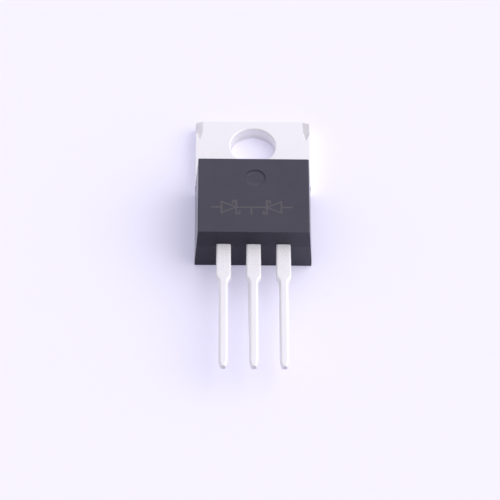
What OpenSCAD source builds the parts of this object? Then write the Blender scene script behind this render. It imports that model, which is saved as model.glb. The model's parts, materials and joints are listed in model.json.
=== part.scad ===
// Three-lead power rectifier: two diode dies with a common cathode, in a flat
// moulded package on a copper heat-sink tab. It lies on its back. Millimetres.
// Origin: centre of the mounting hole, on the back face. +X across the tab,
// +Y to the top edge of the tab, -Y along the leads, +Z out of the front face.

/* [Tab] */
// Width of the tab
tab_w = 10.06; // [9.6:0.02:10.6]
// Thickness of the tab and of the pad under the dies
tab_t = 1.27; // [1.1:0.01:1.45]
// From the hole centre to the top edge of the tab
tab_rise = 2.78; // [2.6:0.02:3.2]
// Diameter of the mounting hole
hole_d = 3.9; // [3.5:0.05:4.1]
// Punched rounding at the front rim of the hole
hole_rim = 0.08; // [0.04:0.02:0.14]
// How far the full width of the tab runs in under the mould
shoulder_in = 0.66; // [0.3:0.02:1]
// Width of the coined mark at each top corner
coin_w = 0.62; // [0.4:0.02:0.8]
// Length of the coined mark along the side edge
coin_len = 1.15; // [0.8:0.05:1.4]
// Length of the pointed end of the coined mark
coin_point = 0.9; // [0.4:0.05:1.1]
// Depth of the coined mark at the side edge
coin_depth = 0.22; // [0.1:0.02:0.35]

/* [Pad] */
// Width of the bare metal on the back, inside the mould
plate_w = 7.5; // [7:0.05:7.8]
// How far the pad overhangs its bare back, at the sides and the lead end
ledge = 0.4; // [0.2:0.05:0.55]
// Height of the overhang above the back face
ledge_z = 0.5; // [0.35:0.05:0.7]
// Depth of the groove that stops moisture under the mould's top edge
groove_depth = 0.15; // [0.08:0.01:0.25]

/* [Mould] */
// How far the mould's straight side walls stand in from the tab's edges
side_in = 0.26; // [0.15:0.01:0.28]
// Thickness from the back face to the front face
body_t = 4.5; // [4.4:0.02:4.7]
// Length of the mould along the leads
body_len = 8.46; // [8.3:0.02:8.9]
// From the hole centre to the top edge of the mould
hole_to_body = 3.94; // [3.6:0.02:4.2]
// How far the flared foot at the lead end stands in from the tab's edges
foot_in = 0.03; // [0:0.01:0.08]
// Length over which the foot flares out
flare_len = 1.6; // [1:0.1:2.7]
// Length of the foot at its full width
foot_len = 0.35; // [0.2:0.05:0.6]
// Draft of the side walls above the parting line, degrees
side_draft = 2.4; // [1:0.2:4]
// Lean of the foot's side walls below the parting line, degrees
foot_lean = 6; // [6:0.5:12]
// Draft of the lead end above the parting line, degrees
end_draft = 7; // [3:0.5:9]
// Draft of the lead end below the parting line, degrees
back_draft = 2; // [1:0.5:4]
// Draft of the end over the tab, degrees
top_draft = 3.5; // [2:0.5:7]
// Diameter of the ejector pin mark on the front face
pin_mark_d = 1.8; // [1.4:0.1:2.2]
// Depth of the ejector pin mark
pin_mark_depth = 0.1; // [0.05:0.01:0.16]
// From the mould's top edge to the centre of the ejector pin mark
pin_mark_in = 2.33; // [1.8:0.05:2.8]

/* [Leads] */
// Spacing of the leads
pitch = 2.54; // [2.5:0.01:2.58]
// Thickness of the leads
lead_t = 0.5; // [0.4:0.02:0.6]
// Height of the leads' underside above the back face
lead_z = 2.56; // [2.3:0.02:2.7]
// Width of a lead where it leaves the mould
exit_w = 1.22; // [1.14:0.02:1.28]
// Width of a lead just above its shoulder
wide_w = 1.29; // [1.22:0.01:1.36]
// Width of a lead below its shoulder
narrow_w = 0.8; // [0.7:0.02:0.9]
// Width of a lead at its tip
tip_w = 0.46; // [0.36:0.02:0.6]
// Length of a lead outside the mould
lead_len = 12.7; // [11:0.1:14]
// From the mould to the start of the shoulder
wide_len = 3.05; // [2.7:0.05:3.4]
// Length of the shoulder
shoulder_len = 0.75; // [0.3:0.05:1]
// Length of the pointed tip
tip_len = 0.7; // [0.4:0.05:1]
// From the mould's lead end to the head of the centre lead's step
step_in = 0.76; // [0.6:0.02:1]
// Angle of the step down to the pad, degrees
step_angle = 52; // [48:1:60]
// From the foot of the step to the pad
step_out = 0.5; // [0.2:0.05:0.7]
// Width of the centre lead where it joins the pad
root_w = 2.2; // [1.8:0.05:2.3]

/* [Bond posts] */
// Width of the bond post at the inner end of each outer lead
post_w = 2.6; // [2.4:0.05:2.8]
// Length of the bond post
post_len = 1.5; // [1.3:0.05:1.7]
// Clearance along the leads between the bond posts and the centre lead's step
post_clear = 0.05; // [0.02:0.01:0.2]

/* [Dies] */
// Side of the square die
die_w = 2.6; // [2.2:0.05:2.8]
// Thickness of the die
die_t = 0.28; // [0.2:0.01:0.35]
// Distance between the die centres, and between the bond posts in line with them
die_spacing = 4.8; // [4.5:0.05:4.9]
// From the mould's top edge to the die centres
die_in = 2.75; // [2.5:0.05:3]
// Thickness of the solder under the die
solder_t = 0.06; // [0.03:0.01:0.1]
// How far the solder runs out round the die
solder_rim = 0.15; // [0.05:0.01:0.25]

/* [Bond wires] */
// Diameter of the bond wire
wire_d = 0.38; // [0.25:0.01:0.4]
// Spacing of the two wires on one die
wire_spacing = 1; // [0.8:0.05:1.2]
// Length of the flattened bond foot
bond_len = 0.85; // [0.7:0.05:0.95]
// Width of the flattened bond foot
bond_w = 0.6; // [0.5:0.02:0.7]
// Thickness of the flattened bond foot
bond_t = 0.2; // [0.16:0.01:0.24]
// Angle at which the wire comes down on the bond post, degrees
fall_angle = 21; // [16:1:28]

/* [Hidden] */
$fn = 64;

// Cutting solids and outlines run this far past the faces that they cut
over = 1;
// Lowest point of a wire above the face that its foot is bonded to
wire_lift = 0.03;
// How far a bond foot reaches past the point where its wire leaves it
heel = 0.26;
// Bare edge of the die in front of its bond feet
bond_edge = 0.12;
// Share of the coined mark's width at which its point lies, from the edge
coin_tip = 0.6;
// Sideways place of the ejector pin mark
pin_mark_x = 0.1;

// Places along Y
tab_top = tab_rise;
body_top = -hole_to_body;
body_end = body_top - body_len;
shoulder_y = body_top - shoulder_in;
die_y = body_top - die_in;
tip_y = body_end - lead_len;

// Heights
lead_top = lead_z + lead_t;
parting_z = lead_z + lead_t / 2;
solder_top = tab_t + solder_t;
die_top = solder_top + die_t;

// Half widths of the mould, which leans in above the parting line and has its
// foot below it
side_x = tab_w / 2 - side_in;
foot_x = tab_w / 2 - foot_in;
front_x = side_x - (body_t - parting_z) * tan(side_draft);
foot_z = parting_z - (foot_x - side_x) / tan(foot_lean);

// The centre lead's step, from its head at lead level to its foot, where the
// pad ends; the bond posts start where the step has passed under them
step_head = body_end + step_in;
step_foot = step_head + (lead_top - tab_t) / tan(step_angle);
bend_shift = lead_t * tan(step_angle / 2);
pad_end = step_foot + step_out;
plate_end = pad_end + ledge;
post_low = step_head + lead_t / tan(step_angle) + post_clear;

// Each wire is one round arc in its own plane, from the die (u = 0) towards
// the leads, with v up; its chord's slope sets the angle at which it rises
wire_r = wire_d / 2;
wire_start = die_y - die_w / 2 + bond_edge + heel;
wire_end = post_low + bond_len - heel;
chord_u = wire_start - wire_end;
chord_angle = atan2(lead_top - die_top, chord_u);
rise_angle = fall_angle + 2 * chord_angle;
loop_r = chord_u / (sin(rise_angle) + sin(fall_angle));
start_v = die_top + wire_r + wire_lift;

// Places a profile drawn in (Y, Z) across the part, centred on X = 0
module across(width) {
  rotate([90, 0, 90])
    linear_extrude(height = width, center = true)
      children();
}

// Places a profile drawn in (X, Z) along the part, from y_low to y_high
module along(y_low, y_high) {
  translate([0, y_high, 0])
    rotate([90, 0, 0])
      linear_extrude(height = y_high - y_low)
        children();
}

// Draws an outline and its mirror image from the points of its right half
module both_halves(points) {
  last = len(points) - 1;
  polygon(concat(points, [for (i = [0:last]) [-points[last - i].x, points[last - i].y]]));
}

// Mould seen from the front: straight sides that flare out to the foot
module mould_plan() {
  both_halves([
    [side_x, body_top + over],
    [side_x, body_end + foot_len + flare_len],
    [foot_x, body_end + foot_len],
    [foot_x, body_end - over]
  ]);
}

// Mould seen from the lead end: upright foot walls that lean in to the parting
// line, and drafted sides above it
module mould_cross() {
  both_halves([
    [foot_x, 0],
    [foot_x, foot_z],
    [side_x, parting_z],
    [front_x, body_t]
  ]);
}

// Mould seen from the side: each end leans in from its parting line
module mould_side() {
  end_in = (body_t - parting_z) * tan(end_draft);
  back_in = parting_z * tan(back_draft);
  top_in = (body_t - tab_t) * tan(top_draft);
  polygon([
    [body_end + back_in, 0],
    [body_end, parting_z],
    [body_end + end_in, body_t],
    [body_top - top_in, body_t],
    [body_top, tab_t],
    [body_top, 0]
  ]);
}

// Epoxy block before the metal and the dies are taken out of it
module mould_block() {
  intersection() {
    linear_extrude(height = body_t) mould_plan();
    along(body_end - over, body_top + over) mould_cross();
    across(tab_w + 2 * over) mould_side();
  }
}

// Coined mark at the right top corner: a pointed tag whose floor falls
// away from the tab's face to its side edge
module corner_coin() {
  edge = tab_w / 2;
  side_low = tab_top - coin_len;
  reach = coin_w + over;
  intersection() {
    linear_extrude(height = tab_t + over)
      polygon([
        [edge - coin_w, tab_top + over],
        [edge + over, tab_top + over],
        [edge + over, side_low],
        [edge, side_low],
        [edge - coin_w * coin_tip, side_low - coin_point],
        [edge - coin_w, side_low]
      ]);
    along(side_low - over, tab_top + over)
      polygon([
        [edge - coin_w, tab_t],
        [edge - coin_w + reach, tab_t - coin_depth * reach / coin_w],
        [edge - coin_w + reach, tab_t + over],
        [edge - coin_w, tab_t + over]
      ]);
  }
}

// Full-width tab with its screw hole and coined corners
module tab_plate() {
  difference() {
    translate([-tab_w / 2, shoulder_y, 0])
      cube([tab_w, tab_top - shoulder_y, tab_t]);
    translate([0, 0, -over])
      cylinder(d = hole_d, h = tab_t + 2 * over);
    translate([0, 0, tab_t - hole_rim])
      cylinder(d1 = hole_d, d2 = hole_d + 4 * hole_rim, h = 2 * hole_rim);
    corner_coin();
    mirror([1, 0, 0]) corner_coin();
  }
}

// Pad under the dies: narrow bare back below an overhang that the mould grips
module die_pad() {
  difference() {
    union() {
      translate([-plate_w / 2, plate_end, 0])
        cube([plate_w, shoulder_y - plate_end, ledge_z]);
      translate([-plate_w / 2 - ledge, pad_end, ledge_z])
        cube([plate_w + 2 * ledge, shoulder_y - pad_end, tab_t - ledge_z]);
    }
    translate([0, shoulder_y - 2 * groove_depth, tab_t])
      rotate([45, 0, 0])
        cube([tab_w, groove_depth * sqrt(2), groove_depth * sqrt(2)], center = true);
  }
}

// Flat outline of a lead outside the mould, from y_root inside it to the tip
module lead_strip(y_root) {
  both_halves([
    [exit_w / 2, y_root],
    [exit_w / 2, body_end],
    [wide_w / 2, body_end - wide_len],
    [narrow_w / 2, body_end - wide_len - shoulder_len],
    [narrow_w / 2, tip_y + tip_len],
    [tip_w / 2, tip_y]
  ]);
}

// Side profile of the centre lead: from pad level up a step to lead level
module step_profile() {
  polygon([
    [pad_end + ledge, tab_t],
    [step_foot, tab_t],
    [step_head, lead_top],
    [tip_y, lead_top],
    [tip_y, lead_z],
    [step_head - bend_shift, lead_z],
    [step_foot - bend_shift, tab_t - lead_t],
    [pad_end + ledge, tab_t - lead_t]
  ]);
}

// Centre lead, stamped in one piece with the pad
module centre_lead() {
  intersection() {
    across(root_w) step_profile();
    linear_extrude(height = body_t)
      union() {
        lead_strip(pad_end);
        both_halves([
          [root_w / 2, pad_end + ledge],
          [root_w / 2, step_foot],
          [exit_w / 2, step_head],
          [exit_w / 2, step_head - lead_t]
        ]);
      }
  }
}

// Outer lead on the side given by its sign, with its bond post
module outer_lead(side) {
  translate([side * pitch, 0, lead_z])
    linear_extrude(height = lead_t)
      lead_strip(post_low + post_len / 2);
  translate([side * die_spacing / 2, post_low + post_len / 2, lead_z + lead_t / 2])
    cube([post_w, post_len, lead_t], center = true);
}

// Die on the side given by its sign
module die(side) {
  translate([side * die_spacing / 2, die_y, solder_top + die_t / 2])
    cube([die_w, die_w, die_t], center = true);
}

// Solder under the die on the side given by its sign
module solder(side) {
  spread = die_w + 2 * solder_rim;
  translate([side * die_spacing / 2, die_y, tab_t + solder_t / 2])
    cube([spread, spread, solder_t], center = true);
}

// Flattened end of a wire on the given surface, from u_from on
module bond_foot(u_from, surface) {
  translate([u_from, surface, -bond_w / 2])
    cube([bond_len, bond_t, bond_w]);
}

// Bond wire in its own plane: a round arc with a foot at each end
module wire_loop() {
  bond_foot(heel - bond_len, die_top);
  translate([loop_r * sin(rise_angle), start_v - loop_r * cos(rise_angle), 0])
    rotate([0, 0, 90 - fall_angle])
      rotate_extrude(angle = rise_angle + fall_angle)
        translate([loop_r, 0])
          circle(r = wire_r);
  bond_foot(chord_u - heel, lead_top);
}

// Wire from a die to its bond post; shift is +1 for the outer of the pair
module wire(side, shift) {
  wire_x = side * (die_spacing + shift * wire_spacing) / 2;
  translate([wire_x, wire_start, 0])
    rotate([90, 0, -90])
      wire_loop();
}

module heatsink_tab() {
  color("gainsboro") {
    tab_plate();
    die_pad();
    centre_lead();
  }
}

module left_lead() {
  color("gainsboro") outer_lead(-1);
}

module right_lead() {
  color("gainsboro") outer_lead(1);
}

module left_die() {
  color("slategray") die(-1);
}

module right_die() {
  color("slategray") die(1);
}

module left_solder() {
  color("darkgray") solder(-1);
}

module right_solder() {
  color("darkgray") solder(1);
}

module left_wire_inner() {
  color("silver") wire(-1, -1);
}

module left_wire_outer() {
  color("silver") wire(-1, 1);
}

module right_wire_inner() {
  color("silver") wire(1, -1);
}

module right_wire_outer() {
  color("silver") wire(1, 1);
}

// Black epoxy, moulded tight round everything that it holds
module mould_body() {
  color([0.13, 0.12, 0.15])
    difference() {
      mould_block();
      translate([pin_mark_x, body_top - pin_mark_in, body_t - pin_mark_depth])
        cylinder(d = pin_mark_d, h = over);
      tab_plate();
      die_pad();
      centre_lead();
      for (side = [-1, 1]) {
        outer_lead(side);
        die(side);
        solder(side);
        for (shift = [-1, 1])
          wire(side, shift);
      }
    }
}

mould_body();
heatsink_tab();
left_lead();
right_lead();
left_die();
right_die();
left_solder();
right_solder();
left_wire_inner();
left_wire_outer();
right_wire_inner();
right_wire_outer();
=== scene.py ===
"""Finishes, light and camera of a three-lead power rectifier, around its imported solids.

Everything is in metres in the part's own frame: the origin is the centre of the mounting hole on
the back face, +Y runs to the top edge of the tab, the leads run along -Y and +Z is up.
"""

import json
import math

import bmesh
import bpy
from mathutils import Matrix, Vector
from mathutils.bvhtree import BVHTree

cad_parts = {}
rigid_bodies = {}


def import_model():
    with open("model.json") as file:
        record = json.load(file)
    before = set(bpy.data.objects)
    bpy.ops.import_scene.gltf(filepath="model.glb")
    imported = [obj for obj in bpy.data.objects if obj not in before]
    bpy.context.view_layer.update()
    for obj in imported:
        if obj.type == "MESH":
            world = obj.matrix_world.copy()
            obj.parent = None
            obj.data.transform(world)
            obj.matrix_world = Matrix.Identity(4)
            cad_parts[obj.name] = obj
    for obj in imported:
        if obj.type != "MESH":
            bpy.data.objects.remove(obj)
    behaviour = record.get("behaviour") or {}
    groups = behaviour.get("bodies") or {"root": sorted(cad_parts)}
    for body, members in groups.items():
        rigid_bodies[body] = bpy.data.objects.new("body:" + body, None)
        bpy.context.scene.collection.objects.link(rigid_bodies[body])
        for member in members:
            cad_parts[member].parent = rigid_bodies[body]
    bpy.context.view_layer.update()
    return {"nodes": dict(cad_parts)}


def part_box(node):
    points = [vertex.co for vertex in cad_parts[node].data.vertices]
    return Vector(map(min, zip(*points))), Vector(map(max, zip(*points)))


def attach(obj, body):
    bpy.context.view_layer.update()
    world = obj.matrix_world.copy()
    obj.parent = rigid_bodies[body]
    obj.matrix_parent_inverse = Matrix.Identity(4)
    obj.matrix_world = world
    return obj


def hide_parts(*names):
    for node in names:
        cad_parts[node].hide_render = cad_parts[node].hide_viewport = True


for leftover in list(bpy.data.objects):
    bpy.data.objects.remove(leftover)

MM = 0.001
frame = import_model()

# Places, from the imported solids; the tab's face and the leads' pitch are known sizes
TAB_LOW, TAB_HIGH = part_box("heatsink_tab")
MOULD_LOW, MOULD_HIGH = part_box("mould_body")
LEAD_LOW, LEAD_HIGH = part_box("left_lead")
DIE_LOW, DIE_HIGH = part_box("left_die")
TAB_EDGE = TAB_HIGH.x
TAB_TOP = TAB_HIGH.y
TAB_FACE = 1.27 * MM
TIP_Y = TAB_LOW.y
MOULD_END = MOULD_LOW.y
FRONT_Z = MOULD_HIGH.z
LEAD_MIDDLE = (LEAD_LOW.z + LEAD_HIGH.z) / 2
LEAD_PITCH = 2.54 * MM
# Where the leads' shoulders start in the photograph
SHOULDER_Y = MOULD_END - 3.42 * MM

# Pressed marks at the tab's top corners
COINED_WIDTH = 0.65 * MM
COINED_LENGTH = 2.2 * MM

# Edges of the stamped copper, rounded by the punch on the front and crisp on the back
PUNCHED_LEAD = 0.23 * MM
PUNCHED_ROOT = 0.15 * MM
PUNCHED_TIP = 0.17 * MM
PUNCHED_TAB = 0.06 * MM
BURR = 0.03 * MM
SHOULDER = 0.2 * MM
TIP_CORNER = 0.1 * MM
TAB_CORNER = 0.12 * MM
TIP_REACH = 0.8 * MM
CUT_DEPTH = 0.05 * MM

# Edges of the mould
MOULD_RIM = 0.06 * MM
MOULD_SIDE_RIM = 0.12 * MM
PARTING = 0.03 * MM
PIN_MARK_RIM = 0.06 * MM
# Side walls of the mould: an upright foot, then one drafted plane up to the front face
SIDE_FOOT = TAB_EDGE - 0.02 * MM
SIDE_FOOT_TOP = 0.6 * MM
SIDE_DRAFT = math.radians(3.8)
SIDE_CUT = 4.65 * MM

# Shallow round mark of an ejector pin
PIN_MARK = Vector((0.1 * MM, MOULD_HIGH.y - 2.33 * MM, FRONT_Z))
PIN_MARK_REACH = 1 * MM

# Sharpest turns that still count as one smooth surface, before and after the edges are rounded
SMOOTH_TURN = math.radians(3)
SMOOTH_STEP = math.radians(35)
# Turns of the mould below this are drafts that meet, and get the smaller rounding
DRAFT_TURN = math.radians(30)
# Distance within which two surfaces count as touching
CONTACT = 1e-3 * MM

# Etched row of two diodes that share a cathode
ROW_MIDDLE = Vector((-0.19 * MM, -9.48 * MM, 0))
STROKE = 0.18 * MM
ETCH_DEPTH = 0.012 * MM

# Camera, fitted to the photograph
VIEW_AZIMUTH = math.radians(-1.281)
VIEW_ELEVATION = math.radians(52)
VIEW_ROLL = math.radians(1.487)
VIEW_DISTANCE = 266.75 * MM
VIEW_TARGET = Vector((-0.25 * MM, -10.602 * MM, 0))
FOCAL_PIXELS = 3103.1
FRAME_PIXELS = 500
SENSOR = 36

# Cool glow of the paper that the part lies on, cool light from all round, warmer lamp
PAPER = (0.925, 0.905, 1.3, 1)
SKY = (0.915, 0.893, 1.02, 1)
LAMP = (1.0, 0.975, 0.9)


# Shapes
def new_object(name, mesh):
    piece = bpy.data.objects.new(name, mesh)
    bpy.context.scene.collection.objects.link(piece)
    return piece


def applied(piece):
    """Replaces a piece's mesh by what its modifiers make of it."""
    graph = bpy.context.evaluated_depsgraph_get()
    mesh = bpy.data.meshes.new_from_object(piece.evaluated_get(graph))
    piece.modifiers.clear()
    piece.data = mesh
    return piece


def flat_faces_joined(shape):
    shape.normal_update()
    bmesh.ops.dissolve_limit(
        shape,
        angle_limit=0.002,
        verts=shape.verts[:],
        edges=shape.edges[:],
        use_dissolve_boundaries=False,
    )
    bmesh.ops.recalc_face_normals(shape, faces=shape.faces[:])
    return shape


def welded(node):
    """Copy of a solid with its facets joined into whole faces."""
    shape = bmesh.new()
    shape.from_mesh(frame["nodes"][node].data)
    bmesh.ops.remove_doubles(shape, verts=shape.verts[:], dist=CONTACT / 10)
    return flat_faces_joined(shape)


def middle_of(edge):
    return (edge.verts[0].co + edge.verts[1].co) / 2


def is_upright(edge):
    return abs((edge.verts[1].co - edge.verts[0].co).normalized().z) > 0.9


def is_convex(edge):
    one, other = edge.link_faces
    return (other.calc_center_median() - one.calc_center_median()).dot(one.normal) < 0


def rounded(name, shape, radius_of, steps=5):
    """New piece from a shape, with each edge rounded by the radius that radius_of gives it.

    The shape's own normals are dropped, because they hide the sharp edges from evenly_shaded.
    """
    weight = shape.edges.layers.float.new("bevel_weight_edge")
    radii = {edge: radius_of(edge) for edge in shape.edges if edge.calc_face_angle() > SMOOTH_TURN}
    widest = max(radii.values())
    for edge, radius in radii.items():
        edge[weight] = radius / widest
    mesh = bpy.data.meshes.new(name)
    shape.to_mesh(mesh)
    shape.free()
    mesh.attributes.remove(mesh.attributes["custom_normal"])
    piece = new_object(name, mesh)
    bevel = piece.modifiers.new("edges", "BEVEL")
    bevel.limit_method = "WEIGHT"
    bevel.width = widest
    bevel.segments = steps
    bevel.miter_outer = "MITER_ARC"
    bevel.use_clamp_overlap = False
    return applied(piece)


def evenly_shaded(piece):
    """Smooth shading in which the large flat faces stay flat."""
    piece.data.shade_smooth()
    piece.data.set_sharp_from_angle(angle=SMOOTH_STEP)
    weighted = piece.modifiers.new("shading", "WEIGHTED_NORMAL")
    weighted.mode = "FACE_AREA"
    weighted.weight = 60
    weighted.keep_sharp = True
    return applied(piece)


def painted(piece, materials, kind_of):
    """Gives each face the material that kind_of names for it, None being the first one."""
    names = list(materials)
    piece.data.materials.clear()
    for material in materials.values():
        piece.data.materials.append(material)
    for face in piece.data.polygons:
        kind = kind_of(face)
        if kind is not None:
            face.material_index = names.index(kind)
    return piece


def stroke(shape, start, end):
    """Adds one straight etched line, with square ends, to a cutting shape."""
    along = (end - start).normalized()
    turn = Matrix.Rotation(math.atan2(along.y, along.x), 4, "Z")
    size = Vector(((end - start).length + STROKE, STROKE, 2 * ETCH_DEPTH, 1))
    centre = (start + end) / 2 + ROW_MIDDLE + Vector((0, 0, FRONT_Z))
    bmesh.ops.create_cube(shape, size=1, matrix=Matrix.Translation(centre) @ turn @ Matrix.Diagonal(size))


def etched_row(material):
    """Cutter for the row: each diode's triangle points at the shared cathode in the middle."""
    shape = bmesh.new()
    bar, half_base, hook = 0.72 * MM, 0.6 * MM, 0.27 * MM
    outer_end, base, tip = 3.4 * MM, 2.55 * MM, 1.3 * MM

    def line(side, *points):
        places = [Vector((side * x, y, 0)) for x, y in points]
        for start, end in zip(places, places[1:]):
            stroke(shape, start, end)

    for side in (-1, 1):
        line(side, (outer_end, 0), (base, 0))
        line(side, (base, -half_base), (base, half_base), (tip, 0), (base, -half_base))
        line(side, (tip + hook, bar - hook), (tip + hook, bar), (tip, bar),
             (tip, -bar), (tip - hook, -bar), (tip - hook, hook - bar))
        line(side, (tip, 0), (0, 0))
    line(1, (0, 0), (0, -bar))
    mesh = bpy.data.meshes.new("etched_row")
    shape.to_mesh(mesh)
    shape.free()
    mesh.materials.append(material)
    return new_object("etched_row", mesh)


# Shader building
class Finish:
    """Node tree that is being filled in."""

    def __init__(self, tree):
        self.tree = tree

    def put(self, socket, value):
        if isinstance(value, bpy.types.NodeSocket):
            self.tree.links.new(value, socket)
        else:
            socket.default_value = value

    def add(self, kind, sockets=None, **settings):
        node = self.tree.nodes.new(kind)
        for name, value in settings.items():
            setattr(node, name, value)
        for name, value in (sockets or {}).items():
            self.put(node.inputs[name], value)
        return node

    def sum(self, operation, *values):
        """Output of a Math node."""
        node = self.add("ShaderNodeMath", operation=operation)
        for socket, value in zip(node.inputs, values):
            self.put(socket, value)
        return node.outputs["Value"]

    def stretched(self, vector, *factors):
        node = self.add("ShaderNodeVectorMath", {0: vector, 1: factors}, operation="MULTIPLY")
        return node.outputs["Vector"]

    def mixed(self, factor, one, other):
        node = self.add(
            "ShaderNodeMix", {0: factor, 6: one, 7: other}, data_type="RGBA", clamp_factor=True
        )
        return node.outputs[2]

    def ramp(self, value, low, high, to_low=0.0, to_high=1.0):
        node = self.add(
            "ShaderNodeMapRange",
            {"Value": value, "From Min": low, "From Max": high, "To Min": to_low, "To Max": to_high},
        )
        return node.outputs["Result"]

    def noise(self, vector, scale, detail=2.0, roughness=0.5):
        node = self.add(
            "ShaderNodeTexNoise",
            {"Vector": vector, "Scale": scale, "Detail": detail, "Roughness": roughness},
        )
        return node.outputs[0]

    def effect(self, group, **sockets):
        """Places a shared effect; its sockets' names have capitals."""
        node = self.add("ShaderNodeGroup", node_tree=group)
        for name, value in sockets.items():
            self.put(node.inputs[name.capitalize()], value)
        return node.outputs

    def split(self, vector):
        """X, Y and Z outputs of a vector."""
        return self.add("ShaderNodeSeparateXYZ", {0: vector}).outputs

    def position(self):
        """Place on the object, in millimetres."""
        place = self.add("ShaderNodeTexCoord").outputs["Object"]
        node = self.add("ShaderNodeVectorMath", {"Vector": place, "Scale": 1 / MM}, operation="SCALE")
        return node.outputs["Vector"]


def shared_effect(name, inputs, outputs):
    """Empty node group with the named sockets; a value given as a tuple makes a vector socket."""
    tree = bpy.data.node_groups.new(name, "ShaderNodeTree")
    for label, value in inputs.items():
        kind = "NodeSocketVector" if isinstance(value, tuple) else "NodeSocketFloat"
        socket = tree.interface.new_socket(label, in_out="INPUT", socket_type=kind)
        socket.default_value = value
    for label in outputs:
        tree.interface.new_socket(label, in_out="OUTPUT", socket_type="NodeSocketFloat")
    finish = Finish(tree)
    given = finish.add("NodeGroupInput").outputs
    result = finish.add("NodeGroupOutput").inputs
    return tree, finish, given, result


def make_grain():
    """Fine grain of a given size: its height, and specks where it peaks."""
    tree, finish, given, result = shared_effect(
        "fine_grain", {"Position": (0.0, 0.0, 0.0), "Size": 0.1, "Speckle": 0.6}, ["Height", "Specks"]
    )
    scale = finish.sum("DIVIDE", 1.0, given["Size"])
    soft = finish.noise(given["Position"], scale, 3.0, 0.6)
    cells = finish.add("ShaderNodeTexVoronoi", {"Vector": given["Position"], "Scale": scale})
    finish.put(result["Height"], finish.sum("MULTIPLY_ADD", cells.outputs["Distance"], 0.4, soft))
    fine = finish.noise(given["Position"], finish.sum("MULTIPLY", scale, 1.7), 1.0)
    finish.put(result["Specks"], finish.ramp(fine, given["Speckle"], 0.78))
    return tree


def make_edge_wear():
    """Mask of outward edges, broken up along their length."""
    tree, finish, given, result = shared_effect(
        "edge_wear", {"Position": (0.0, 0.0, 0.0), "Radius": 0.1 * MM, "Breaks": 3.0}, ["Mask"]
    )
    true_normal = finish.add("ShaderNodeNewGeometry").outputs["Normal"]
    soft_normal = finish.add("ShaderNodeBevel", {"Radius": given["Radius"]}, samples=6).outputs["Normal"]
    likeness = finish.add("ShaderNodeVectorMath", {0: true_normal, 1: soft_normal}, operation="DOT_PRODUCT")
    turn = finish.sum("SUBTRACT", 1.0, likeness.outputs["Value"])
    edge = finish.ramp(turn, 0.004, 0.09)
    gaps = finish.ramp(finish.noise(given["Position"], given["Breaks"], 3.0, 0.65), 0.3, 0.62, 0.35, 1.0)
    finish.put(result["Mask"], finish.sum("MULTIPLY", edge, gaps))
    return tree


def make_smudges():
    """Slow, uneven change of tone, as from handling and plating."""
    tree, finish, given, result = shared_effect(
        "smudges", {"Position": (0.0, 0.0, 0.0), "Size": 3.0}, ["Mask"]
    )
    scale = finish.sum("DIVIDE", 1.0, given["Size"])
    broad = finish.noise(given["Position"], scale, 4.0, 0.6)
    finish.put(result["Mask"], finish.ramp(broad, 0.34, 0.68))
    return tree


def make_lines():
    """Fine lines along Y, as from rolling or drawing."""
    tree, finish, given, result = shared_effect(
        "drawn_lines", {"Position": (0.0, 0.0, 0.0), "Pitch": 0.06}, ["Height"]
    )
    scale = finish.sum("DIVIDE", 1.0, given["Pitch"])
    lines = finish.noise(finish.stretched(given["Position"], 1.0, 0.03, 1.0), scale, 2.0, 0.55)
    finish.put(result["Height"], lines)
    return tree


def make_shear():
    """Sheared side walls: where they are, their upright streaks, and the band at their foot where the punch
    tore the metal, which tin_plate also paints darker as shade.
    """
    tree, finish, given, result = shared_effect(
        "shear_marks", {"Position": (0.0, 0.0, 0.0), "Pitch": 0.05}, ["Wall", "Streaks", "Torn_Foot_And_Shade"]
    )
    lean = finish.split(finish.add("ShaderNodeNewGeometry").outputs["Normal"])
    wall = finish.ramp(finish.sum("ABSOLUTE", lean["Z"]), 0.35, 0.08)
    finish.put(result["Wall"], wall)
    scale = finish.sum("DIVIDE", 1.0, given["Pitch"])
    streaks = finish.noise(finish.stretched(given["Position"], 1.0, 1.0, 0.12), scale, 2.0, 0.6)
    finish.put(result["Streaks"], streaks)
    height = finish.split(given["Position"])["Z"]
    ragged = finish.sum("MULTIPLY_ADD", streaks, 0.3, height)
    tab_foot = finish.ramp(ragged, 0.72, 0.42)
    lead_foot = finish.ramp(ragged, LEAD_LOW.z / MM + 0.36, LEAD_LOW.z / MM + 0.26)
    on_lead = finish.sum("GREATER_THAN", height, TAB_FACE / MM + 0.1)
    torn_foot_and_shade = finish.sum("MAXIMUM", tab_foot, finish.sum("MULTIPLY", lead_foot, on_lead))
    finish.put(result["Torn_Foot_And_Shade"], finish.sum("MULTIPLY", wall, torn_foot_and_shade))
    return tree


GRAIN = make_grain()
EDGE_WEAR = make_edge_wear()
SMUDGES = make_smudges()
LINES = make_lines()
SHEAR = make_shear()


def new_material(name, **constants):
    """Material with a Principled shader whose own sockets hold the given constants."""
    material = bpy.data.materials.new(name)
    material.use_nodes = True
    shader = material.node_tree.nodes["Principled BSDF"]
    for label, value in constants.items():
        shader.inputs[label.replace("_", " ").title().replace("Ior", "IOR")].default_value = value
    return material, Finish(material.node_tree), shader.inputs


def bumped(finish, height, depth, normal=None):
    """Normal of a surface whose relief is depth, in metres, from lowest to highest."""
    sockets = {"Height": height, "Distance": depth, "Strength": 1.0}
    if normal is not None:
        sockets["Normal"] = normal
    return finish.add("ShaderNodeBump", sockets).outputs["Normal"]


def tone(red, green, blue):
    return (red, green, blue, 1.0)


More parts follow.
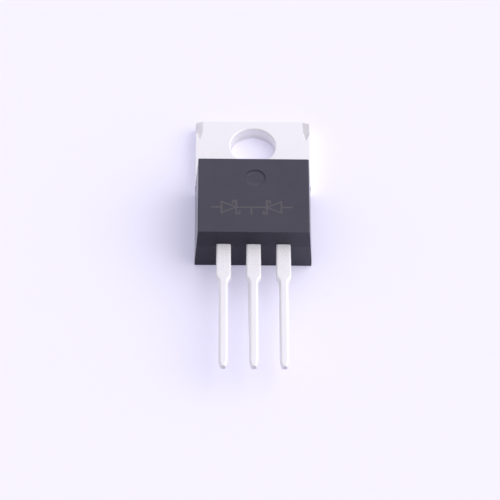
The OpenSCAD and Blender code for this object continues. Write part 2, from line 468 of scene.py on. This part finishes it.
# Finishes
def moulded_epoxy():
    """Black epoxy, fine matt on the front face, smoother at the ends and smoothest on the sides, which are
    also painted darker as shade and paler towards the right end as painted light.
    """
    material, finish, surface = new_material("moulded_epoxy")
    place = finish.position()
    grain = finish.effect(GRAIN, position=place, size=0.07, speckle=0.66)
    smudge = finish.effect(SMUDGES, position=place, size=3.2)["Mask"]
    wear = finish.effect(EDGE_WEAR, position=place, radius=0.13 * MM, breaks=1.3)["Mask"]
    lean = finish.split(finish.add("ShaderNodeTexCoord").outputs["Normal"])
    across = finish.split(place)["X"]
    pin = finish.add("ShaderNodeVectorMath", {0: place, 1: PIN_MARK / MM}, operation="DISTANCE")
    from_pin = pin.outputs["Value"]
    front = finish.ramp(lean["Z"], 0.5, 0.97)
    front = finish.sum("MAXIMUM", front, finish.ramp(from_pin, 1.1, 1.0))
    side = finish.ramp(finish.sum("ABSOLUTE", lean["X"]), 0.8, 0.97)
    # Ends and sides are coloured darker than the front face: partly their smoother finish, partly painted
    # shade of the faces turned from the lamp.
    wall = finish.mixed(smudge, tone(0.009, 0.008, 0.019), tone(0.012, 0.011, 0.023))
    # Painted light: ends and sides are painted paler towards the right end, where the lamp and the lit floor
    # on the right brighten them.
    wall = finish.mixed(finish.ramp(across, 0.0, 5.0), wall, tone(0.040, 0.037, 0.058))
    face = finish.mixed(smudge, tone(0.050, 0.047, 0.070), tone(0.056, 0.053, 0.076))
    colour = finish.mixed(front, wall, face)
    ring = finish.ramp(finish.sum("ABSOLUTE", finish.sum("SUBTRACT", from_pin, 0.66)), 0.2, 0.04)
    ring = finish.sum("MULTIPLY", ring, finish.ramp(finish.noise(place, 1.7, 2.0), 0.4, 0.62))
    colour = finish.mixed(finish.sum("MULTIPLY", ring, 0.6), colour, tone(0.09, 0.085, 0.11))
    colour = finish.mixed(finish.sum("MULTIPLY", grain["Specks"], 0.35), colour, tone(0.12, 0.115, 0.14))
    colour = finish.mixed(finish.sum("MULTIPLY", wear, 0.4), colour, tone(0.095, 0.09, 0.115))
    finish.put(surface["Base Color"], colour)
    finish.put(surface["Specular IOR Level"], finish.ramp(front, 0.0, 1.0, 0.4, 0.5))
    rough = finish.sum("MULTIPLY_ADD", side, -0.24, finish.ramp(front, 0.0, 1.0, 0.42, 0.58))
    finish.put(surface["Roughness"], finish.sum("MULTIPLY_ADD", wear, -0.12, rough))
    relief = finish.sum("MULTIPLY", grain["Height"], finish.ramp(side, 0.0, 1.0, 1.0, 0.15))
    finish.put(surface["Normal"], bumped(finish, relief, 0.006 * MM))
    return material


def etched_epoxy():
    material, finish, surface = new_material("etched_epoxy", specular_ior_level=0.35)
    place = finish.position()
    grain = finish.effect(GRAIN, position=place, size=0.05, speckle=0.5)
    smudge = finish.effect(SMUDGES, position=place, size=1.4)["Mask"]
    colour = finish.mixed(smudge, tone(0.104, 0.1, 0.118), tone(0.125, 0.114, 0.122))
    colour = finish.mixed(finish.sum("MULTIPLY", grain["Specks"], 0.5), colour, tone(0.14, 0.135, 0.15))
    finish.put(surface["Base Color"], colour)
    finish.put(surface["Roughness"], finish.ramp(grain["Height"], 0.2, 1.2, 0.72, 0.9))
    finish.put(surface["Normal"], bumped(finish, grain["Height"], 0.012 * MM))
    return material


def tin_plate():
    """Matt tin over stamped copper: blasted near the mould; each sheared wall's foot is rougher where the
    punch tore it, and painted darker as shade.
    """
    material, finish, surface = new_material("tin_plate")
    place = finish.position()
    grain = finish.effect(GRAIN, position=place, size=0.09, speckle=0.55)
    blast = finish.effect(GRAIN, position=place, size=0.2, speckle=0.48)
    lines = finish.effect(LINES, position=place, pitch=0.07)["Height"]
    smudge = finish.effect(SMUDGES, position=place, size=2.2)["Mask"]
    shear = finish.effect(SHEAR, position=place, pitch=0.05)
    wear = finish.effect(EDGE_WEAR, position=place, radius=0.09 * MM, breaks=1.8)["Mask"]
    along = finish.split(place)["Y"]
    blasted = finish.ramp(along, SHOULDER_Y / MM - 0.3, SHOULDER_Y / MM + 0.9)
    blasted = finish.sum("MULTIPLY", blasted, finish.sum("LESS_THAN", along, MOULD_END / MM + 1))
    colour = finish.mixed(smudge, tone(1.0, 0.995, 0.995), tone(0.98, 0.975, 0.975))
    colour = finish.mixed(finish.sum("MULTIPLY", grain["Specks"], 0.35), colour, tone(0.8, 0.79, 0.81))
    pits = finish.sum("MULTIPLY", finish.sum("MULTIPLY", blast["Specks"], blasted), 0.5)
    colour = finish.mixed(pits, colour, tone(0.66, 0.65, 0.67))
    colour = finish.mixed(finish.sum("MULTIPLY", shear["Wall"], 0.08), colour, tone(0.86, 0.85, 0.87))
    # Painted shade: the foot of each sheared wall is painted darker, where the floor and the wall's lower
    # edge shade it; it is also the rough band the punch tore.
    colour = finish.mixed(finish.sum("MULTIPLY", shear["Torn_Foot_And_Shade"], 0.22), colour, tone(0.6, 0.58, 0.61))
    colour = finish.mixed(finish.sum("MULTIPLY", wear, 0.4), colour, tone(0.98, 0.975, 0.975))
    finish.put(surface["Base Color"], colour)
    finish.put(surface["Metallic"], finish.ramp(blasted, 0.0, 1.0, 0.6, 0.05))
    rough = finish.ramp(smudge, 0.0, 1.0, 0.5, 0.58)
    rough = finish.sum("MULTIPLY_ADD", shear["Torn_Foot_And_Shade"], 0.12, rough)
    finish.put(surface["Roughness"], finish.sum("MULTIPLY_ADD", wear, -0.08, rough))
    relief = finish.sum("MULTIPLY_ADD", lines, 0.5, grain["Height"])
    relief = finish.sum("MULTIPLY_ADD", finish.sum("MULTIPLY", shear["Wall"], shear["Streaks"]), 2.0, relief)
    relief = finish.sum("MULTIPLY_ADD", finish.sum("MULTIPLY", blast["Height"], blasted), 1.6, relief)
    finish.put(surface["Normal"], bumped(finish, relief, 0.006 * MM))
    return material


def coined_tin():
    """Tin pressed down at the corners; painted light and shade even out the lamp from the right, the left
    mark painted lighter and the right one darker.
    """
    material, finish, surface = new_material("coined_tin", metallic=0.6)
    place = finish.position()
    grain = finish.effect(GRAIN, position=place, size=0.06, speckle=0.5)
    smudge = finish.effect(SMUDGES, position=place, size=0.8)["Mask"]
    across = finish.split(place)["X"]
    # Painted light and shade: the left mark, tilted away from the lamp, is painted lighter; the right mark,
    # tilted towards it, darker.
    right = finish.ramp(across, -1.0, 1.0)
    colour = finish.mixed(right, tone(0.95, 0.94, 0.94), tone(0.63, 0.62, 0.62))
    colour = finish.mixed(finish.sum("MULTIPLY", smudge, 0.3), colour, tone(0.7, 0.69, 0.71))
    finish.put(surface["Base Color"], colour)
    finish.put(surface["Roughness"], finish.ramp(grain["Height"], 0.2, 1.2, 0.5, 0.62))
    finish.put(surface["Normal"], bumped(finish, grain["Height"], 0.008 * MM))
    return material


def cut_copper():
    """Sheared end of a lead: copper shows in the middle, with tin dragged over its rim."""
    material, finish, surface = new_material("cut_copper", metallic=0.8)
    place = finish.position()
    grain = finish.effect(GRAIN, position=place, size=0.05, speckle=0.5)
    shear = finish.effect(SHEAR, position=place, pitch=0.04)
    parts = finish.split(place)
    pitch = LEAD_PITCH / MM
    across = finish.sum("SUBTRACT", finish.sum("WRAP", parts["X"], pitch / 2, -pitch / 2), 0.03)
    up = finish.sum("SUBTRACT", parts["Z"], LEAD_MIDDLE / MM)
    reach = finish.sum("SQRT", finish.sum("MULTIPLY_ADD", across, across, finish.sum("MULTIPLY", up, up)))
    ragged = finish.sum("MULTIPLY_ADD", grain["Height"], 0.06, reach)
    bare = finish.ramp(ragged, 0.32, 0.16)
    cut = finish.mixed(shear["Streaks"], tone(0.62, 0.6, 0.63), tone(0.72, 0.69, 0.72))
    cut = finish.mixed(grain["Specks"], cut, tone(0.56, 0.52, 0.53))
    finish.put(surface["Base Color"], finish.mixed(bare, tone(0.9, 0.89, 0.91), cut))
    finish.put(surface["Roughness"], finish.ramp(shear["Streaks"], 0.3, 0.7, 0.42, 0.58))
    relief = finish.sum("MULTIPLY_ADD", shear["Streaks"], 1.5, grain["Height"])
    finish.put(surface["Normal"], bumped(finish, relief, 0.01 * MM))
    return material


def polished_silicon():
    """Bare rim round an aluminium top, on the sawn sides of a die."""
    material, finish, surface = new_material("polished_silicon", specular_ior_level=0.6)
    place = finish.position()
    smudge = finish.effect(SMUDGES, position=place, size=0.9)["Mask"]
    grain = finish.effect(GRAIN, position=place, size=0.04, speckle=0.6)
    parts = finish.split(place)
    middle = (DIE_LOW + DIE_HIGH) / 2 / MM
    half = (DIE_HIGH.x - DIE_LOW.x) / 2 / MM
    across = finish.sum("ABSOLUTE", finish.sum("ADD", finish.sum("ABSOLUTE", parts["X"]), middle.x))
    along = finish.sum("ABSOLUTE", finish.sum("SUBTRACT", parts["Y"], middle.y))
    reach = finish.sum("MAXIMUM", across, along)
    top = finish.ramp(reach, half - 0.2, half - 0.22)
    colour = finish.mixed(smudge, tone(0.12, 0.13, 0.16), tone(0.17, 0.18, 0.21))
    colour = finish.mixed(top, colour, tone(0.78, 0.78, 0.79))
    finish.put(surface["Base Color"], colour)
    finish.put(surface["Metallic"], top)
    finish.put(surface["Roughness"], finish.ramp(top, 0.0, 1.0, 0.16, 0.4))
    finish.put(surface["Normal"], bumped(finish, grain["Height"], 0.002 * MM))
    return material


def reflowed_solder():
    material, finish, surface = new_material("reflowed_solder", metallic=1.0)
    place = finish.position()
    smudge = finish.effect(SMUDGES, position=place, size=0.7)["Mask"]
    grain = finish.effect(GRAIN, position=place, size=0.12, speckle=0.5)
    finish.put(surface["Base Color"], finish.mixed(smudge, tone(0.5, 0.5, 0.52), tone(0.62, 0.62, 0.63)))
    finish.put(surface["Roughness"], finish.ramp(smudge, 0.0, 1.0, 0.28, 0.46))
    finish.put(surface["Normal"], bumped(finish, grain["Height"], 0.012 * MM))
    return material


def drawn_aluminium():
    material, finish, surface = new_material("drawn_aluminium", metallic=1.0)
    place = finish.position()
    lines = finish.effect(LINES, position=place, pitch=0.03)["Height"]
    smudge = finish.effect(SMUDGES, position=place, size=0.6)["Mask"]
    finish.put(surface["Base Color"], finish.mixed(smudge, tone(0.8, 0.8, 0.81), tone(0.88, 0.88, 0.89)))
    finish.put(surface["Roughness"], finish.ramp(lines, 0.3, 0.7, 0.24, 0.36))
    finish.put(surface["Normal"], bumped(finish, lines, 0.003 * MM))
    return material


def seen(finish):
    """1 for the rays that show a surface: camera, reflected and transmitted ones."""
    path = finish.add("ShaderNodeLightPath").outputs
    shown = finish.sum("MAXIMUM", path["Is Camera Ray"], path["Is Glossy Ray"])
    return finish.sum("MAXIMUM", shown, path["Is Transmission Ray"])


def plain_paper():
    """Pale lilac paper under the part, which shines through a little where it is seen."""
    material, finish, surface = new_material(
        "plain_paper", roughness=1.0, specular_ior_level=0.0, emission_color=PAPER
    )
    place = finish.position()
    fibres = finish.noise(place, 0.4, 3.0)
    colour = finish.mixed(fibres, tone(0.785, 0.77, 0.82), tone(0.775, 0.76, 0.81))
    finish.put(surface["Base Color"], colour)
    finish.put(surface["Emission Strength"], finish.sum("MULTIPLY", seen(finish), 0.25))
    return material


# Pieces
EPOXY = moulded_epoxy()
ETCHED = etched_epoxy()
TIN = tin_plate()
COINED = coined_tin()
COPPER = cut_copper()

mould_shape = welded("mould_body")
mould_surface = BVHTree.FromBMesh(mould_shape)


def is_covered(point):
    """True where metal lies against the mould."""
    return mould_surface.find_nearest(point)[3] < CONTACT


def metal_radius(edge):
    """Rounding of an edge of the lead frame, by where it lies and which way it runs."""
    middle = middle_of(edge)
    on_lead = middle.y < MOULD_END
    on_tip = middle.y < TIP_Y + TIP_REACH
    if is_covered(middle):
        return 0.0
    if is_upright(edge):
        if on_lead:
            return TIP_CORNER if on_tip else SHOULDER
        return TAB_CORNER if middle.y > TAB_TOP - CONTACT else 0.0
    if not is_convex(edge):
        return 0.0
    if not on_lead:
        return BURR if middle.z < TAB_FACE / 2 else PUNCHED_TAB
    if middle.z < LEAD_MIDDLE:
        return BURR
    if on_tip:
        return PUNCHED_TIP
    return PUNCHED_LEAD if middle.y < SHOULDER_Y - CONTACT else PUNCHED_ROOT


def metal_kind(face):
    """Coined floors and cut tips have a finish of their own."""
    if face.center.y < TIP_Y + CUT_DEPTH and face.normal.y < -0.7:
        return "copper"
    at_edge = abs(face.center.x) > TAB_EDGE - COINED_WIDTH
    at_top = face.center.y > TAB_TOP - COINED_LENGTH
    if at_edge and at_top and 0.85 < face.normal.z < 0.985 and abs(face.normal.y) < 0.05:
        return "coined"
    return None


def short_shouldered(shape):
    """Brings the start of each lead's shoulder down, so that the shoulder is short and steep."""
    on_lead = [vertex for vertex in shape.verts if TIP_Y + TIP_REACH < vertex.co.y < MOULD_END - CONTACT]
    start = max(vertex.co.y for vertex in on_lead)
    for vertex in on_lead:
        if vertex.co.y > start - CONTACT:
            vertex.co.y = SHOULDER_Y
    return flat_faces_joined(shape)


def stamped_piece(name, node):
    piece = evenly_shaded(rounded(name, short_shouldered(welded(node)), metal_radius))
    painted(piece, {"tin": TIN, "coined": COINED, "copper": COPPER}, metal_kind)
    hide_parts(node)
    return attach(piece, "root")


def cut_across(shape, place, normal, clear=False):
    """Edges of the cut that a plane makes right through a shape, with what lies beyond it cleared."""
    whole = shape.verts[:] + shape.edges[:] + shape.faces[:]
    cut = bmesh.ops.bisect_plane(
        shape, geom=whole, dist=CONTACT / 10, plane_co=place, plane_no=normal, clear_outer=clear
    )
    return [item for item in cut["geom_cut"] if isinstance(item, bmesh.types.BMEdge)]


def drafted(shape):
    """Cuts the mould's sides off and draws them out again, to one foot and draft on their whole length."""
    for side in (-1, 1):
        rim = cut_across(shape, (side * SIDE_CUT, 0, 0), (side, 0, 0), clear=True)
        bmesh.ops.edgenet_fill(shape, edges=rim)
    cut_across(shape, (0, 0, SIDE_FOOT_TOP), (0, 0, 1))
    for vertex in shape.verts:
        if abs(vertex.co.x) > SIDE_CUT - CONTACT:
            rise = max(vertex.co.z - SIDE_FOOT_TOP, 0)
            vertex.co.x = math.copysign(SIDE_FOOT - rise * math.tan(SIDE_DRAFT), vertex.co.x)
    return flat_faces_joined(shape)


def outer_faces(shape):
    """Faces of the mould's outside: the rest of the mould lies behind them."""
    points = [vertex.co for vertex in shape.verts]
    found = set()
    for face in shape.faces:
        start = face.calc_center_median()
        furthest = max((point - start).dot(face.normal) for point in points)
        if furthest < 10 * CONTACT:
            found.add(face)
    return found


def moulded_case():
    drafted(mould_shape)
    outside = outer_faces(mould_shape)

    def radius_of(edge):
        middle = middle_of(edge)
        if (middle - PIN_MARK).length < PIN_MARK_REACH:
            return PIN_MARK_RIM if middle.z > FRONT_Z - CONTACT else 0.0
        if not is_convex(edge) or any(face not in outside for face in edge.link_faces):
            return 0.0
        if edge.calc_face_angle() < DRAFT_TURN:
            return PARTING
        along_side = abs(edge.verts[1].co.y - edge.verts[0].co.y) > edge.calc_length() / 2
        return MOULD_SIDE_RIM if along_side and middle.z > FRONT_Z / 2 else MOULD_RIM

    case = rounded("moulded_case", mould_shape, radius_of)
    case.data.materials.clear()
    case.data.materials.append(EPOXY)
    cutter = etched_row(ETCHED)
    cut = case.modifiers.new("etching", "BOOLEAN")
    cut.object = cutter
    cut.operation = "DIFFERENCE"
    cut.solver = "EXACT"
    cut.use_self = True
    cut.material_mode = "TRANSFER"
    applied(case)
    bpy.data.objects.remove(cutter)
    evenly_shaded(case)
    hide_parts("mould_body")
    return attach(case, "root")


stamped_piece("tab_with_middle_lead", "heatsink_tab")
stamped_piece("left_outer_lead", "left_lead")
stamped_piece("right_outer_lead", "right_lead")
moulded_case()

inner_finishes = {
    "die": polished_silicon(),
    "solder": reflowed_solder(),
    "wire_inner": drawn_aluminium(),
}
inner_finishes["wire_outer"] = inner_finishes["wire_inner"]
for side in ("left", "right"):
    for kind, material in inner_finishes.items():
        mesh = frame["nodes"][f"{side}_{kind}"].data
        mesh.materials.clear()
        mesh.materials.append(material)


# Stage, light and camera
def paper_floor():
    shape = bmesh.new()
    bmesh.ops.create_grid(shape, x_segments=8, y_segments=8, size=1.5)
    mesh = bpy.data.meshes.new("floor")
    shape.to_mesh(mesh)
    shape.free()
    mesh.materials.append(plain_paper())
    floor = new_object("floor", mesh)
    floor.location.z = -0.01 * MM


def sun(name, azimuth, elevation, strength, width):
    """Soft lamp far away; azimuth 0 is the camera's side and 90 the right, in degrees."""
    lamp = bpy.data.lights.new(name, "SUN")
    lamp.energy = strength
    lamp.angle = math.radians(width)
    lamp.color = LAMP
    towards = Vector((
        math.sin(math.radians(azimuth)) * math.cos(math.radians(elevation)),
        -math.cos(math.radians(azimuth)) * math.cos(math.radians(elevation)),
        math.sin(math.radians(elevation)),
    ))
    holder = new_object(name, lamp)
    holder.rotation_euler = towards.to_track_quat("Z", "Y").to_euler()


def studio_world(light=0.75, to_right=0.4, to_back=0.32):
    """Even pale light, a little stronger from the right and from behind."""
    world = bpy.data.worlds.new("studio")
    bpy.context.scene.world = world
    world.use_nodes = True
    finish = Finish(world.node_tree)
    world.node_tree.nodes.clear()
    towards = finish.split(finish.add("ShaderNodeTexCoord").outputs["Generated"])
    slope = finish.sum("MULTIPLY_ADD", towards["X"], to_right, 1.0)
    slope = finish.sum("MULTIPLY_ADD", towards["Y"], to_back, slope)
    strength = finish.sum("MULTIPLY", slope, light)
    ground = finish.add("ShaderNodeBackground", {"Color": SKY, "Strength": strength})
    finish.add("ShaderNodeOutputWorld", {"Surface": ground.outputs["Background"]})


def photo_camera():
    back = Vector((
        math.sin(VIEW_AZIMUTH) * math.cos(VIEW_ELEVATION),
        -math.cos(VIEW_AZIMUTH) * math.cos(VIEW_ELEVATION),
        math.sin(VIEW_ELEVATION),
    ))
    right = Vector((0, 0, 1)).cross(back).normalized()
    up = back.cross(right)
    turned_right = right * math.cos(VIEW_ROLL) + up * math.sin(VIEW_ROLL)
    turned_up = up * math.cos(VIEW_ROLL) - right * math.sin(VIEW_ROLL)
    lens = bpy.data.cameras.new("camera")
    lens.sensor_width = SENSOR
    lens.lens = FOCAL_PIXELS * SENSOR / FRAME_PIXELS
    lens.clip_start = 1 * MM
    lens.clip_end = 10
    camera = new_object("camera", lens)
    axes = Matrix((turned_right, turned_up, back)).transposed().to_4x4()
    camera.matrix_world = Matrix.Translation(VIEW_TARGET + back * VIEW_DISTANCE) @ axes
    bpy.context.scene.camera = camera


paper_floor()
sun("key", 90, 46, 1.0, 60)
studio_world()
photo_camera()
bpy.context.scene.view_settings.view_transform = "Standard"

bpy.context.view_layer.update()
